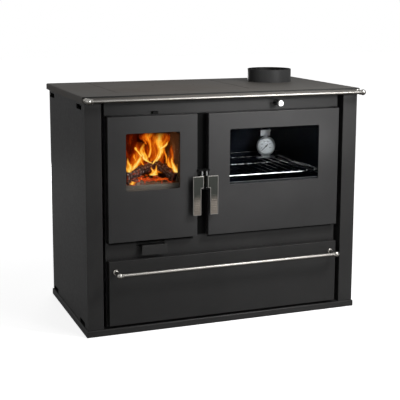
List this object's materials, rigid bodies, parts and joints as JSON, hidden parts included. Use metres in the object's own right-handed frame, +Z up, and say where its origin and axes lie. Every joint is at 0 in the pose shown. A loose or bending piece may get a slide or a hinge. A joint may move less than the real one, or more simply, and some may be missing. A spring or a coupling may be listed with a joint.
{
  "type": "wood cookstove",
  "caption": "Black steel wood-burning cookstove with a glazed firebox door, glazed oven door, wood drawer, cast hob, steel hand rails and a top flue collar.",
  "frame": {"origin": "on the floor, under the middle of the stove's body, at the plinth's underside", "axes": "+Z up, +X towards the oven side, the doors face -Y"},
  "size_m": [0.966, 0.578, 0.814],
  "materials": {
    "plinth": "satin heat-proof black",
    "side_panel_left": "satin heat-proof black",
    "side_panel_right": "satin heat-proof black",
    "back_panel": "satin heat-proof black",
    "rear_screws": "bright plated",
    "inner_side_left": "sheet steel",
    "inner_side_right": "sheet steel",
    "inner_back": "sheet steel",
    "front_frame": "satin heat-proof black",
    "upper_fascia": "satin heat-proof black",
    "hob_plate": "ground and oiled",
    "flue_collar": "satin heat-proof black",
    "hob_rail": "polished stainless steel",
    "firebox_shell": "satin heat-proof black",
    "grate_shelf": "satin heat-proof black",
    "firebricks": "fired clay brick, matt",
    "fire_grate": "raw",
    "log_guard": "raw",
    "smoke_baffle": "pressed vermiculite board, matt",
    "ash_pan": "sheet steel",
    "oven_box": "sheet steel",
    "rack_runners": "plain steel",
    "oven_rack": "bright plated",
    "thermometer_case": "bright plated",
    "thermometer_lens": "clear, heat-proof",
    "hinge_brackets": "satin heat-proof black",
    "hinge_pins": "bright plated",
    "latch_keeper": "raw",
    "drawer_runners": "plain steel",
    "damper_bush": "plain steel",
    "flue_divider": "raw",
    "air_slide_guides": "plain steel",
    "fire_door_panel": "satin heat-proof black",
    "fire_door_liner": "satin heat-proof black",
    "fire_door_glass": "clear, heat-proof",
    "fire_glass_clips": "satin heat-proof black",
    "fire_door_seal": "woven glass-fibre rope",
    "fire_latch_bracket": "satin heat-proof black",
    "fire_latch_pin": "bright plated",
    "oven_door_panel": "satin heat-proof black",
    "oven_door_liner": "satin heat-proof black",
    "oven_door_glass": "clear, heat-proof",
    "oven_glass_clips": "satin heat-proof black",
    "oven_door_seal": "woven glass-fibre rope",
    "oven_latch_bracket": "satin heat-proof black",
    "oven_latch_pin": "bright plated",
    "fire_handle": "satin heat-proof black",
    "oven_handle": "satin heat-proof black",
    "drawer_front": "satin heat-proof black",
    "drawer_box": "sheet steel",
    "drawer_rail": "polished stainless steel",
    "hotplate": "ground and oiled",
    "damper_rod": "plain steel",
    "damper_knob": "polished stainless steel",
    "damper_plate": "raw",
    "primary_air_slide": "satin heat-proof black",
    "secondary_air_slide": "satin heat-proof black",
    "thermometer_needle": "matt black"
  },
  "bodies": {
    "body": {"plinth": "plinth", "side_panel_left": "side_panel_left", "side_panel_right": "side_panel_right", "back_panel": "back_panel", "rear_screws": "rear_screws", "inner_side_left": "inner_side_left", "inner_side_right": "inner_side_right", "inner_back": "inner_back", "front_frame": "front_frame", "upper_fascia": "upper_fascia", "hob_plate": "hob_plate", "flue_collar": "flue_collar", "hob_rail": "hob_rail", "firebox_shell": "firebox_shell", "grate_shelf": "grate_shelf", "firebricks": "firebricks", "fire_grate": "fire_grate", "log_guard": "log_guard", "smoke_baffle": "smoke_baffle", "ash_pan": "ash_pan", "oven_box": "oven_box", "rack_runners": "rack_runners", "oven_rack": "oven_rack", "thermometer_case": "thermometer_case", "thermometer_lens": "thermometer_lens", "hinge_brackets": "hinge_brackets", "hinge_pins": "hinge_pins", "latch_keeper": "latch_keeper", "drawer_runners": "drawer_runners", "damper_bush": "damper_bush", "flue_divider": "flue_divider", "air_slide_guides": "air_slide_guides"},
    "fire_door": {"fire_door_panel": "fire_door_panel", "fire_door_liner": "fire_door_liner", "fire_door_glass": "fire_door_glass", "fire_glass_clips": "fire_glass_clips", "fire_door_seal": "fire_door_seal", "fire_latch_bracket": "fire_latch_bracket", "fire_latch_pin": "fire_latch_pin"},
    "oven_door": {"oven_door_panel": "oven_door_panel", "oven_door_liner": "oven_door_liner", "oven_door_glass": "oven_door_glass", "oven_glass_clips": "oven_glass_clips", "oven_door_seal": "oven_door_seal", "oven_latch_bracket": "oven_latch_bracket", "oven_latch_pin": "oven_latch_pin"},
    "fire_door_handle": {"fire_handle": "fire_handle"},
    "oven_door_handle": {"oven_handle": "oven_handle"},
    "wood_drawer": {"drawer_front": "drawer_front", "drawer_box": "drawer_box", "drawer_rail": "drawer_rail"},
    "hob_hotplate": {"hotplate": "hotplate"},
    "flue_damper": {"damper_rod": "damper_rod", "damper_knob": "damper_knob", "damper_plate": "damper_plate"},
    "primary_air": {"primary_air_slide": "primary_air_slide"},
    "secondary_air": {"secondary_air_slide": "secondary_air_slide"},
    "needle": {"thermometer_needle": "thermometer_needle"}
  },
  "joints": [
    {"name": "fire_door_hinge", "type": "hinge", "parent": "body", "child": "fire_door", "pos_m": [-0.398, -0.242, 0.502], "axis": [0, 0, -1], "range_deg": [0, 120]},
    {"name": "oven_door_hinge", "type": "hinge", "parent": "body", "child": "oven_door", "pos_m": [0.398, -0.242, 0.502], "axis": [0, 0, 1], "range_deg": [0, 120]},
    {"name": "fire_handle_pivot", "type": "hinge", "parent": "fire_door", "child": "fire_door_handle", "pos_m": [-0.09305, -0.262, 0.502], "axis": [0, 0, 1], "range_deg": [0, 25]},
    {"name": "oven_handle_pivot", "type": "hinge", "parent": "oven_door", "child": "oven_door_handle", "pos_m": [-0.07745, -0.262, 0.502], "axis": [0, 0, -1], "range_deg": [0, 25]},
    {"name": "drawer_slide", "type": "slide", "parent": "body", "child": "wood_drawer", "axis": [0, -1, 0], "range_m": [0, 0.35]},
    {"name": "hotplate_lift", "type": "slide", "parent": "body", "child": "hob_hotplate", "axis": [0, 0, 1], "range_m": [0, 0.06]},
    {"name": "damper_pull", "type": "slide", "parent": "body", "child": "flue_damper", "axis": [0, -1, 0], "range_m": [0, 0.08]},
    {"name": "primary_air_slide", "type": "slide", "parent": "body", "child": "primary_air", "axis": [-1, 0, 0], "range_m": [0, 0.014]},
    {"name": "secondary_air_slide", "type": "slide", "parent": "body", "child": "secondary_air", "axis": [-1, 0, 0], "range_m": [0, 0.01]},
    {"name": "needle_pivot", "type": "hinge", "parent": "body", "child": "needle", "pos_m": [0.292, 0.0832, 0.5293], "axis": [0, 1, 0], "range_deg": [0, 264]}
  ]
}
